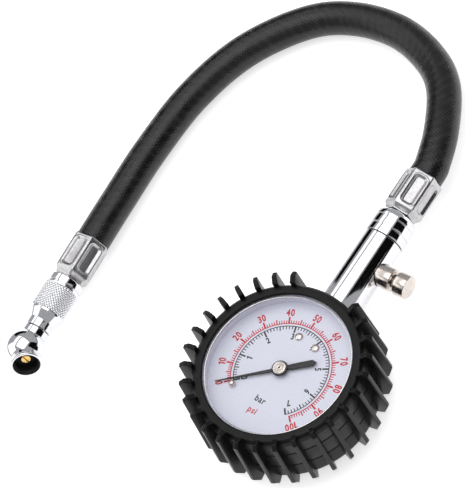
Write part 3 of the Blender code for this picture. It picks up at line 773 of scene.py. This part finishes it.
def marks(count, step, start, end, width, top, ink, first):
    """Marks clockwise from the first. Angles are in degrees and lengths in millimetres."""
    bar = bar_mesh(start, end, width, top)
    return grown(bar, RING, Count=count, Start=radians(first), Step=radians(-step), Material=ink)


def arc_band(inner, outer, sweep, top, steps=240):
    """A flat printed band from the printed zero clockwise through a sweep in degrees."""
    rows = []
    for i in range(steps + 1):
        a = radians(PRINTED_ZERO - sweep * i / steps)
        square = ((inner, INK_LOW), (outer, INK_LOW), (outer, INK_LOW + top), (inner, INK_LOW + top))
        rows.append([(r * cos(a), r * sin(a), z) for r, z in square])
    return grid_mesh(rows, closed_ends=True)


def printed_scale(name, unit, units, ring, band, kinds, ink):
    """A scale's band and marks. A kind of mark is how many units apart, from, to, width and thickness."""
    tenth = ZERO - 10 * unit
    low_unit = (PRINTED_ZERO - tenth) / 10
    meshes = [arc_band(*band, PRINTED_ZERO - (ZERO - units * unit), INK)]
    for first, step, count in ((tenth, unit, units - 10 + 1), (PRINTED_ZERO, low_unit, 10)):
        for every, start, end, width, thickness in kinds:
            number = (count - 1) // every + 1
            size = (ring + start, ring + end, width, INK * thickness)
            meshes.append(marks(number, step * every, *size, ink, first))
    print(name, "low step", round(low_unit, 2), "degrees, others", round(unit, 2))
    return finish_mesh(merged(*meshes))


red = printed_scale("psi_scale", PSI_STEP, 100, RED_RING, (RED_RING, RED_RING + 0.3), [
    (1, 0, 1.3, 0.3, 0.8), (5, 0, 1.9, 0.4, 1.2), (10, 0, 2.5, 0.6, 1.4)], INK_RED)
piece("psi_scale", red, DIAL, INK_RED)
black = printed_scale("bar_scale", BAR_STEP / 10, 70, BLACK_RING, (BLACK_RING - 0.28, BLACK_RING), [
    (1, -1.3, 0, 0.29, 0.8), (5, -1.75, 0, 0.36, 1.2), (10, -2.4, 0, 0.56, 1.4)], INK_BLACK)
piece("bar_scale", black, DIAL, INK_BLACK)

# %% [markdown]
# The figures are text objects turned into meshes. Their tops point away from the middle, so each is turned
# with its mark, and the low ones on the right stand on their heads. The built-in letter shape is squeezed
# and made bolder, as dial figures are. The two unit words sit level under the hub.

# %% Figures and unit words
GLYPH_GAP = 0.1
CAPITAL_SHARE = 0.73
INK_MIDDLE = DIAL_FACE + 0.005 + INK / 2


def text_mesh(words, height, squeeze=0.74, bold=0.045, spacing=1.0):
    """A word as a thin solid, centred on its middle."""
    curve = bpy.data.curves.new("words", "FONT")
    curve.body = words
    curve.size = mm(height / CAPITAL_SHARE)
    curve.align_x = "CENTER"
    curve.align_y = "CENTER"
    curve.offset = mm(height * bold)
    curve.space_character = spacing
    curve.extrude = mm(INK / 2)
    curve.resolution_u = 4
    mesh = evaluated(in_scene("words", curve))
    mesh.transform(Matrix.Diagonal((squeeze, 1, 1, 1)))
    return mesh


def one_mesh(height):
    """The figure 1 with its flag, which the built-in letter shape lacks."""
    outline = [(0, 0), (0.2, 0), (0.2, 1), (0.06, 1), (-0.16, 0.84), (-0.16, 0.66), (0, 0.77)]
    outline = [(x * height, (y - 0.5) * height) for x, y in outline]
    return mesh_of(raised_from(outline, -INK / 2, INK)[0])


def number_mesh(words, height):
    """A number whose figures stand side by side, centred on its middle."""
    glyphs = [one_mesh(height) if glyph == "1" else text_mesh(glyph, height) for glyph in words]
    edge = 0.0
    for mesh in glyphs:
        across = [v.co.x for v in mesh.vertices]
        mesh.transform(Matrix.Translation((edge - min(across), 0, 0)))
        edge += max(across) - min(across) + mm(height * GLYPH_GAP)
    number = merged(*glyphs)
    number.transform(Matrix.Translation((-(edge - mm(height * GLYPH_GAP)) / 2, 0, 0)))
    return number


def figure(words, height, radius, degrees):
    """A number at an angle round the dial, its top pointing outward."""
    mesh = number_mesh(words, height)
    turn = Matrix.Rotation(radians(degrees), 4, "Z")
    shift = Matrix.Translation((mm(radius), 0, mm(INK_MIDDLE)))
    mesh.transform(turn @ shift @ Matrix.Rotation(radians(-90), 4, "Z"))
    return mesh


def level_word(words, height, x, y):
    mesh = text_mesh(words, height, 0.86, 0.025, 1.15)
    mesh.transform(Matrix.Translation((mm(x), mm(y), mm(INK_MIDDLE))))
    return mesh


def figure_angle(number, step):
    return ZERO - number * step if number else PRINTED_ZERO


SEVEN_NUDGE = 6
red_figures = [figure(str(n * 10), 2.5, 21.0, figure_angle(n * 10, PSI_STEP)) for n in range(11)]
black_figures = []
for n in range(8):
    nudge = SEVEN_NUDGE if n == 7 else 0
    black_figures.append(figure(str(n), 2.2, 12.4, figure_angle(n, BAR_STEP) + nudge))
red_figures.append(level_word("psi", 2.3, -0.2, -16.2))
black_figures.append(level_word("bar", 2.3, 0.0, -11.9))
for name, figures, ink in (("psi_figures", red_figures, INK_RED), ("bar_figures", black_figures, INK_BLACK)):
    piece(name, finish_mesh(merged(*figures)), DIAL, ink)
print("figures:", len(red_figures), "red and", len(black_figures), "black")

# %% [markdown]
# ## Screws, stop pin and needle
#
# Two domed screws hold the dial to the socket behind it, and a small pin stops the needle at zero. The needle
# is a flat blade with a long thin point and a short broad tail, pressed on a black boss with a nickel cap.

# %% Screws and stop pin
def dome(radius, low, rise, steps=7):
    """A domed head's profile from its top, down to its flat underside."""
    arc = []
    widest = radians(82)
    for i in range(steps):
        a = widest * i / (steps - 1)
        arc.append((radius * sin(a) / sin(widest), low + 0.12 + rise * cos(a)))
    arc[0] = (0, arc[0][1])
    return arc + [(radius, low), (0, low)]


for number, (x, y) in enumerate([(-1.75, 12.8), (5.7, 11.9)], 1):
    head = lathe(dome(1.4, DIAL_FACE + 0.05, 0.68), 0.05, 48)
    place = DIAL @ Matrix.Translation((mm(x), mm(y), 0))
    piece(f"screw_head_{number}", head, place, NICKEL, f"dial_screw_{number}")
STOP_RADIUS = 16.6
STOP_ANGLE = radians(DIAL_TURN + ZERO)
STOP_LOW = DIAL_FACE + 0.02
stop = lathe([(0, 21.85), (0.7, 21.7), (1.12, 21.15), (1.15, STOP_LOW), (0, STOP_LOW)], 0.25, 48)
stop_place = turned_to((STOP_RADIUS * cos(STOP_ANGLE), STOP_RADIUS * sin(STOP_ANGLE), 0), (0, 0, 0))
piece("needle_stop", stop, stop_place, NICKEL, "stop_pin")
print("screws and stop made")

# %% Needle, boss and cap
NEEDLE_ANGLE = 218.7 + DIAL_TURN
BLADE_LOW = 20.92
BLADE_THICKNESS = 0.36
NEEDLE_HALF = [(22.2, 0.16), (4.0, 0.58), (0, 0.7), (-2.0, 0.8), (-4.4, 1.05), (-11.0, 1.15), (-12.4, 0.0)]


def blade_mesh():
    """The blade along +X, with its upper edges rounded."""
    outline = NEEDLE_HALF + [(x, -y) for x, y in NEEDLE_HALF[-2::-1]]
    work, raised = raised_from(outline, BLADE_LOW, BLADE_THICKNESS)
    bmesh.ops.recalc_face_normals(work, faces=work.faces)
    top = [e for e in work.edges if all(v in raised for v in e.verts)]
    bmesh.ops.bevel(work, geom=top, offset=mm(0.08), segments=2, affect="EDGES")
    return finish_mesh(mesh_of(work))


POINTER = "pointer"
needle_place = turned_to((0, 0, 0), (0, 0, NEEDLE_ANGLE))
piece("needle_blade", blade_mesh(), needle_place, NEEDLE_BLACK, "needle", body=POINTER)
boss = [(0, 21.95), (2.62, 21.95), (2.8, 21.7), (2.8, 21.45), (2.2, 21.0), (2.2, 20.75), (0, 20.75)]
piece("needle_boss", lathe(boss, 0.1, 96), UPRIGHT, NEEDLE_BLACK, "needle_hub", body=POINTER)
cap = [(0, 22.1), (0.34, 22.1), (0.36, 22.33), (2.1, 22.3), (2.28, 22.15), (2.28, 21.9), (0, 21.9)]
piece("boss_cap", lathe(cap, 0.06, 96), UPRIGHT, NICKEL, "hub_cap", body=POINTER)
# A black disc in the cap's centre hole: painted shade, so that the hole shows as a dark dot.
shade_dot = disc(0.33, 21.95, 22.14, 0.05)
piece("painted_shade_dot", lathe(shade_dot, 0.03, 24), UPRIGHT, NEEDLE_BLACK, body=POINTER)
print("needle made")

# %% [markdown]
# ## Stem
#
# The stem is a chromed brass tube. Its far end is closed by a cap in three narrow bands, and the lines
# between them are real grooves, because a mirror finish shows a painted line up at once. A flat is milled
# on its side where the bleed valve is screwed in.

# %% Stem and end cap
STEM_RADIUS = 7.1
STEM_LOW, STEM_TOP = 28.2, 58.0
stem_profile = [(STEM_RADIUS, STEM_TOP), (STEM_RADIUS, STEM_LOW), (5.15, STEM_LOW), (5.15, 39.0), (3.0, 39.0),
                (3.0, 49.5), (5.3, 49.5), (5.3, STEM_TOP)]
stem = lathe(stem_profile, 0.18, 200)
flat = lathe(disc(4.25, 5.75, 9, 0), 0, 96)
port = lathe(disc(2.6, 0, 9, 0), 0, 64)
for tool in (flat, port):
    tool.transform(STEM.inverted() @ BLEED)
piece("chrome_stem", carved(stem, flat, port), STEM, CHROME, "stem_body")

CAP_RADIUS = 7.3
cap_profile = [(2.9, 68.2), (5.2, 68.2), (6.4, 67.6), (7.15, 66.4), (CAP_RADIUS, 65.6)]
for groove in (64.6, 61.2):
    cap_profile += [(CAP_RADIUS, groove + 0.2), (CAP_RADIUS - 0.3, groove + 0.14),
                    (CAP_RADIUS - 0.3, groove - 0.14), (CAP_RADIUS, groove - 0.2)]
cap_profile += [(CAP_RADIUS, 58.25), (5.0, 58.25), (5.0, 50.0), (3.1, 50.0), (2.9, 55.0)]
end_cap = lathe(cap_profile, 0.1, 200)
piece("banded_cap", end_cap, STEM, CHROME, "stem_end_cap")
print("stem made")

# %% [markdown]
# ## Bleed valve
#
# Pressing the button lets air out, so that a tyre can be let down to the right pressure. It is nickel plated
# brass, warmer than the chrome beside it. The button moves on its own body, so it's a separate piece.

# %% Bleed valve
body_profile = [(3.9, 11.7), (3.9, 5.9), (2.3, 5.9), (2.3, 3.7), (1.15, 3.7), (1.15, 8.0), (2.2, 8.0),
                (2.2, 11.7)]
barrel = lathe(body_profile, 0.32, 96)
piece("bleed_barrel", barrel, BLEED, NICKEL, "bleed_body")
button_profile = [(0, 17.9), (4.0, 17.9), (4.0, 13.4), (1.9, 13.4), (1.9, 11.2), (0.8, 11.2), (0.8, 3.0),
                  (1.6, 3.0), (1.6, 2.3), (0, 2.3)]
button = lathe(button_profile, 0.38, 96)
piece("bleed_knob", button, BLEED, NICKEL, "bleed_button", body="bleed_plunger")
print("bleed valve made")

# %% [markdown]
# ## Crimped ferrules
#
# A ferrule is a metal sleeve squeezed in a six-sided press. The press leaves six flats, and in each flat a
# sunk panel with soft edges, which Booleans would leave hard. So the surface is made from its rule: for
# each angle and height, a six-sided radius less the panel's depth.

# %% A crimped ferrule
FERRULE_LENGTH = 15.6
FLAT_AT = 6.1
CORNER_AT = 6.8
PANEL = (2.35, 5.5)
PANEL_ROUND = 1.5
PANEL_DEPTH = 0.75
PANEL_SHIFT = 0.7
BARB_HOLE = 2.95


def smooth_step(low, high, value):
    t = min(max((value - low) / (high - low), 0.0), 1.0)
    return t * t * (3 - 2 * t)


def ferrule_radius(degrees, height):
    """The radius at an angle from the middle of a flat, and at a height from the ferrule's middle."""
    a = radians((degrees + 30) % 60 - 30)
    six_sided = FLAT_AT / cos(a)
    radius = six_sided - max(six_sided - CORNER_AT + 0.05, 0) ** 2 * 1.5
    x, y = abs(FLAT_AT * tan(a)), abs(height)
    dx, dy = x - PANEL[0] + PANEL_ROUND, y - PANEL[1] + PANEL_ROUND
    outside = hypot(max(dx, 0), max(dy, 0)) + min(max(dx, dy), 0) - PANEL_ROUND
    radius -= PANEL_DEPTH * (1 - smooth_step(-0.75, 0.2, outside))
    rim = smooth_step(0.0, 0.35, outside) * (1 - smooth_step(0.35, 0.9, outside))
    return radius + 0.1 * rim


def ferrule_mesh(hose_end_up):
    """A ferrule from height 0 to its length. Its hose end is a thin lip, and its other end is rounded in."""
    rows = []
    around, along = 240, 96
    bore = HOSE_RADIUS - 0.3
    middle = FERRULE_LENGTH / 2 + (PANEL_SHIFT if hose_end_up else -PANEL_SHIFT)
    for j in range(along + 1):
        z = FERRULE_LENGTH * j / along
        from_closed = z if hose_end_up else FERRULE_LENGTH - z
        from_open = FERRULE_LENGTH - from_closed
        pulled_in = 1.3 * (1 - smooth_step(0, 2.2, from_closed))
        pulled_in += 0.18 * (1 - smooth_step(0, 0.35, from_open))
        rows.append([])
        for i in range(around):
            turn = 360 * i / around
            r = ferrule_radius(turn, z - middle) - pulled_in
            rows[-1].append((r * cos(radians(turn)), r * sin(radians(turn)), z))
    open_z, closed_z = (FERRULE_LENGTH, 0) if hose_end_up else (0, FERRULE_LENGTH)
    step_z = middle + (open_z - middle) * 0.8
    inner = [(bore, open_z), (bore, step_z), (BARB_HOLE, step_z), (BARB_HOLE, closed_z)]
    rows += [ring_of_points(r, z, around) for r, z in (inner if hose_end_up else inner[::-1])]
    return finish_mesh(grid_mesh(rows), 50)


gauge_ferrule_place = STEM @ turned_to((0, 0, 68.6), (0, 0, -90 + 20.4))
chuck_ferrule_place = CHUCK @ turned_to((0, 0, 0), (0, 0, 90 + 4.8))
at_stem, at_chuck = ferrule_mesh(True), ferrule_mesh(False)
piece("ferrule_at_stem", at_stem, gauge_ferrule_place, FERRULE_METAL, "hose_ferrule_gauge")
chuck_ferrule = piece("ferrule_at_chuck", at_chuck, chuck_ferrule_place, FERRULE_METAL,
                      "hose_ferrule_chuck")
print("ferrules made")

# %% [markdown]
# ## Knurled sleeve
#
# The sleeve is gripped to push the chuck onto a valve, and its middle is knurled: two sets of slanting
# grooves cross and leave rows of small diamonds. A Geometry Nodes tree cuts them into a finely divided
# turned mesh, by pulling each point in by how near it lies to either groove.

# %% A Geometry Nodes tree for a diamond knurl
def knurl_tree():
    sizes = ("Low", "High", "Starts", "Lead", "Depth", "Least Radius")
    sockets = dict.fromkeys(sizes, "Float") | {"Material": "Material"}
    tree, given, result = new_tree("diamond_knurl", sockets)

    def value(operation, *values):
        return calculate(tree, operation, *values)

    position = add(tree, "GeometryNodeInputPosition").outputs[0]
    x, y, z = add(tree, "ShaderNodeSeparateXYZ", {0: position}).outputs
    radius = value("SQRT", value("MULTIPLY_ADD", x, x, value("MULTIPLY", y, y)))
    turns = value("DIVIDE", value("ARCTAN2", y, x), 2 * pi)
    across = value("MULTIPLY", turns, given["Starts"])
    along = value("DIVIDE", z, given["Lead"])
    near = [value("PINGPONG", value(operation, across, along), 0.5) for operation in ("ADD", "SUBTRACT")]
    diamond = value("MINIMUM", value("MULTIPLY", value("MINIMUM", *near), 3.2), 1.0)
    above = between(tree, z, -1.0, 1.0, given["Low"], given["High"])
    fade = between(tree, value("SUBTRACT", 1.0, value("ABSOLUTE", above)), 0.0, 1.0, 0.0, 0.08)
    outer = value("GREATER_THAN", radius, given["Least Radius"])
    cut = value("MULTIPLY", value("SUBTRACT", 1.0, diamond), given["Depth"])
    cut = value("MULTIPLY", value("MULTIPLY", cut, fade), outer)
    inward = value("DIVIDE", cut, value("MULTIPLY", value("MAXIMUM", radius, 0.0001), -1.0))
    flat = add(tree, "ShaderNodeCombineXYZ", {"X": x, "Y": y}).outputs[0]
    offset = add(tree, "ShaderNodeVectorMath", {0: flat, "Scale": inward}, operation="SCALE").outputs[0]
    values = {"Geometry": given["Geometry"], "Offset": offset}
    return end_tree(tree, add(tree, "GeometryNodeSetPosition", values).outputs[0], given, result)


KNURL = knurl_tree()

# %% The knurled sleeve
KNURL_LOW, KNURL_HIGH = 20.0, 29.8
KNURL_ROWS = 72
SLEEVE_RADIUS = 6.35
sleeve_profile = softened(
    [(3.5, 36.4), (4.75, 36.4), (4.75, 33.6), (6.2, 30.6), (SLEEVE_RADIUS, 30.0)], 0.15, False)
for row in range(KNURL_ROWS + 1):
    sleeve_profile.append((SLEEVE_RADIUS, KNURL_HIGH - (KNURL_HIGH - KNURL_LOW) * row / KNURL_ROWS))
sleeve_profile += softened(
    [(SLEEVE_RADIUS, 19.8), (SLEEVE_RADIUS, 19.4), (5.95, 19.3), (5.95, 19.0), (SLEEVE_RADIUS, 18.9),
     (SLEEVE_RADIUS, 16.7), (5.9, 16.15), (3.1, 16.15), (3.1, 30.0), (3.5, 30.0)], 0.08, False)
sleeve = lathe(sleeve_profile, 0, 288)
knurl = {"Low": mm(KNURL_LOW), "High": mm(KNURL_HIGH), "Starts": 36.0, "Lead": mm(1.25), "Depth": mm(0.36),
         "Least Radius": mm(5.5), "Material": CHROME}
sleeve = grown(sleeve, KNURL, **knurl)
sleeve.set_sharp_from_angle(angle=radians(70))
knurled = piece("chuck_sleeve", sleeve, CHUCK, CHROME, "knurled_sleeve", body="chuck")
print("sleeve triangles:", len(sleeve.polygons) * 2)

# %% [markdown]
# ## Ball head
#
# The chuck ends in a polished ball with a mouth set at a slant, so that it reaches a valve between the
# spokes. The ball, the neck and the mouth's lip are turned and joined, and the mouth is bored out of them.
# Inside it sit a rubber seal that lines the mouth and a slotted brass pin that pushes the valve open.

# %% Ball head, seal and pin
BALL_RADIUS = 7.1
half_turn = [pi * i / 48 for i in range(49)]
ball = [(BALL_RADIUS * sin(a), BALL_AT + BALL_RADIUS * cos(a)) for a in half_turn]
ball[0] = (0, ball[0][1])
ball[-1] = (0, ball[-1][1])
neck = [(0, BALL_AT - 2), (4.6, BALL_AT - 2), (4.6, 36.7), (3.2, 36.7), (3.2, 31.0), (0, 31.0)]
lip = [(0, 7.9), (5.5, 7.9), (5.5, 6.9), (5.1, 6.5), (5.1, 2), (0, 2)]
bore = [(0, 9), (4.75, 9), (4.75, 7.7), (4.1, 6.5), (4.1, 1.2), (1.4, 1.2), (1.4, -2.6), (0, -2.6)]
lip_mesh, bore_mesh = lathe(lip, 0.42, 128), lathe(bore, 0, 128)
for mesh in (lip_mesh, bore_mesh):
    mesh.transform(CHUCK.inverted() @ MOUTH)
head = carved(lathe(ball, 0, 128), lathe(neck, 0.2, 128), lip_mesh, operation="UNION")
head = carved(head, bore_mesh, lathe(disc(1.3, 28, BALL_AT, 0), 0, 48))
ball_head = piece("ball_head", head, CHUCK, CHROME, "chuck_head", body="chuck")

seal_profile = [(4.05, 1.4), (4.05, 6.45), (4.62, 7.5), (4.4, 7.55), (3.85, 6.6), (3.85, 3.9), (2.1, 3.9),
                (2.1, 1.4)]
seal = piece("mouth_seal", lathe(seal_profile, 0.12, 96), MOUTH, SEAL_RUBBER, "chuck_seal", body="chuck")
PIN_TOP = 5.2
pin_profile = [(0, PIN_TOP), (1.75, PIN_TOP), (1.75, 1.5), (1.1, 1.5), (1.1, -2.2), (0, -2.2)]
slot_mesh = box_mesh((0.56, 6, 2), (0, 0, PIN_TOP))
pin = carved(lathe(pin_profile, 0.25, 64), slot_mesh)
depressor = piece("slotted_pin", pin, MOUTH, BRASS, "chuck_depressor", body="chuck")
print("ball head made")

# %% [markdown]
# ## Parts inside
#
# The movement, the valves and the fittings inside keep the shapes that they were built with. They show only
# when the gauge is taken apart, but each still gets its own metal or rubber.

# %% Finishes for the parts inside
INSIDE = {
    BRASS: ["gauge_socket", "bourdon_tube", "tube_end_cap", "movement_plate_bottom", "movement_plate_top",
            *(f"plate_pillar_{n}" for n in range(1, 5)), "sector_gear", "check_valve_body",
            "check_valve_pin"],
    NICKEL: ["hose_barb_gauge", "hose_barb_chuck"],
    STEEL: ["case", "pinion_arbor", "link", "hairspring", "check_valve_spring", "bleed_spring",
            "swivel_clip"],
    SEAL_RUBBER: ["stem_seal", "bleed_seal", "swivel_seal"],
}
for look, names in INSIDE.items():
    for name in names:
        give(nodes[name].data, look)
print("inner parts finished:", sum(len(names) for names in INSIDE.values()))

# %% [markdown]
# ## What the hose is
#
# The hose is declared as a real cord: its exit, its length and diameter, and the pieces on its far end. The
# chuck and everything on it go with the hose.

# %% [markdown]
# ## Floor and light
#
# A plain pale floor and soft light from above are enough for rubber and paint, but a mirror finish only
# looks like chrome when it has something dark to reflect as well. Two black cards stand left and right of
# the gauge, and show in reflections only. The light overhead is in two parts, and the lens reflects the gap
# between them. A light there would hide the dial behind a bright haze.

# %% Floor, cards and light
def flat_sheet(name, width, height, place, look):
    mesh = bpy.data.meshes.new(name)
    w, h = width / 2, height / 2
    mesh.from_pydata([(-w, -h, 0), (w, -h, 0), (w, h, 0), (-w, h, 0)], [], [(0, 1, 2, 3)])
    mesh.transform(place)
    mesh.materials.append(look)
    obj = in_scene(name, mesh)
    obj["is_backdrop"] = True
    return obj


def floor_look():
    """White paper on a light table: it is lit from below too, so shadows on it stay faint."""
    look, tree, shader = new_look("floor_paper", 0.0, 0.7)
    fibres = noise(tree, place_on(tree), 300, 4)
    colour = mixed(tree, fibres, (0.78, 0.78, 0.78), (0.81, 0.81, 0.81))
    tree.links.new(colour, shader.inputs["Base Color"])
    shader.inputs["Specular IOR Level"].default_value = 0.2
    shader.inputs["Emission Color"].default_value = (1, 1, 1, 1)
    shader.inputs["Emission Strength"].default_value = 0.62
    return look


def soft_light(name, location, aim, size, power):
    data = bpy.data.lights.new(name, "AREA")
    data.shape = "RECTANGLE"
    data.size, data.size_y = size
    data.energy = power
    light = in_scene(name, data)
    light.location = location
    light.rotation_euler = (Vector(aim) - Vector(location)).to_track_quat("-Z", "Y").to_euler()


flat_sheet("floor", 8, 8, Matrix.Identity(4), floor_look())
CARD, _, card_shader = new_look("card_black", 0.0, 0.9, (0.004, 0.004, 0.004))
card_shader.inputs["Specular IOR Level"].default_value = 0.0
CARD_AT = 0.62
CARD_MIDDLE = 0.56
CARD_WIDTH = 0.76
CARD_LOW = 0.02
for name, x, top in (("card_left", -CARD_AT, 0.34), ("card_right", CARD_AT, 0.98)):
    centre = Matrix.Translation((x, CARD_MIDDLE, (CARD_LOW + top) / 2))
    stand = centre @ Matrix.Rotation(radians(90), 4, "Y")
    card = flat_sheet(name, top - CARD_LOW, CARD_WIDTH, stand, CARD)
    for ray in ("camera", "diffuse", "shadow", "transmission"):
        setattr(card, "visible_" + ray, False)
LIGHT_HEIGHT = 1.1
soft_light("overhead", (0.0, 0.15, LIGHT_HEIGHT), (0.0, 0.15, 0), (1.0, 1.2), 6.4)
soft_light("overhead_wing", (-0.98, 0.2, LIGHT_HEIGHT), (-0.98, 0.2, 0), (0.56, 1.3), 2.9)
soft_light("front_left", (-0.75, -0.55, 0.5), (-0.05, 0, 0), (0.8, 0.8), 2.2)
world = bpy.data.worlds.new("studio")
world.use_nodes = True
sky = world.node_tree.nodes["Background"].inputs
sky["Color"].default_value = (0.97, 0.98, 1.0, 1)
sky["Strength"].default_value = 0.44
bpy.context.scene.world = world
bpy.context.scene.view_settings.view_transform = "Standard"
print("stage set")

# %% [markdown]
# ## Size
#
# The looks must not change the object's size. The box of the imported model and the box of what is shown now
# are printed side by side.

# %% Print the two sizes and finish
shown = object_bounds()
sizes = {"cad": [list(corner) for corner in CAD_BOX], "visual": [list(corner) for corner in shown]}
for label, (low, high) in sizes.items():
    print(label, [round((h - l) * 1000, 2) for l, h in zip(low, high)])
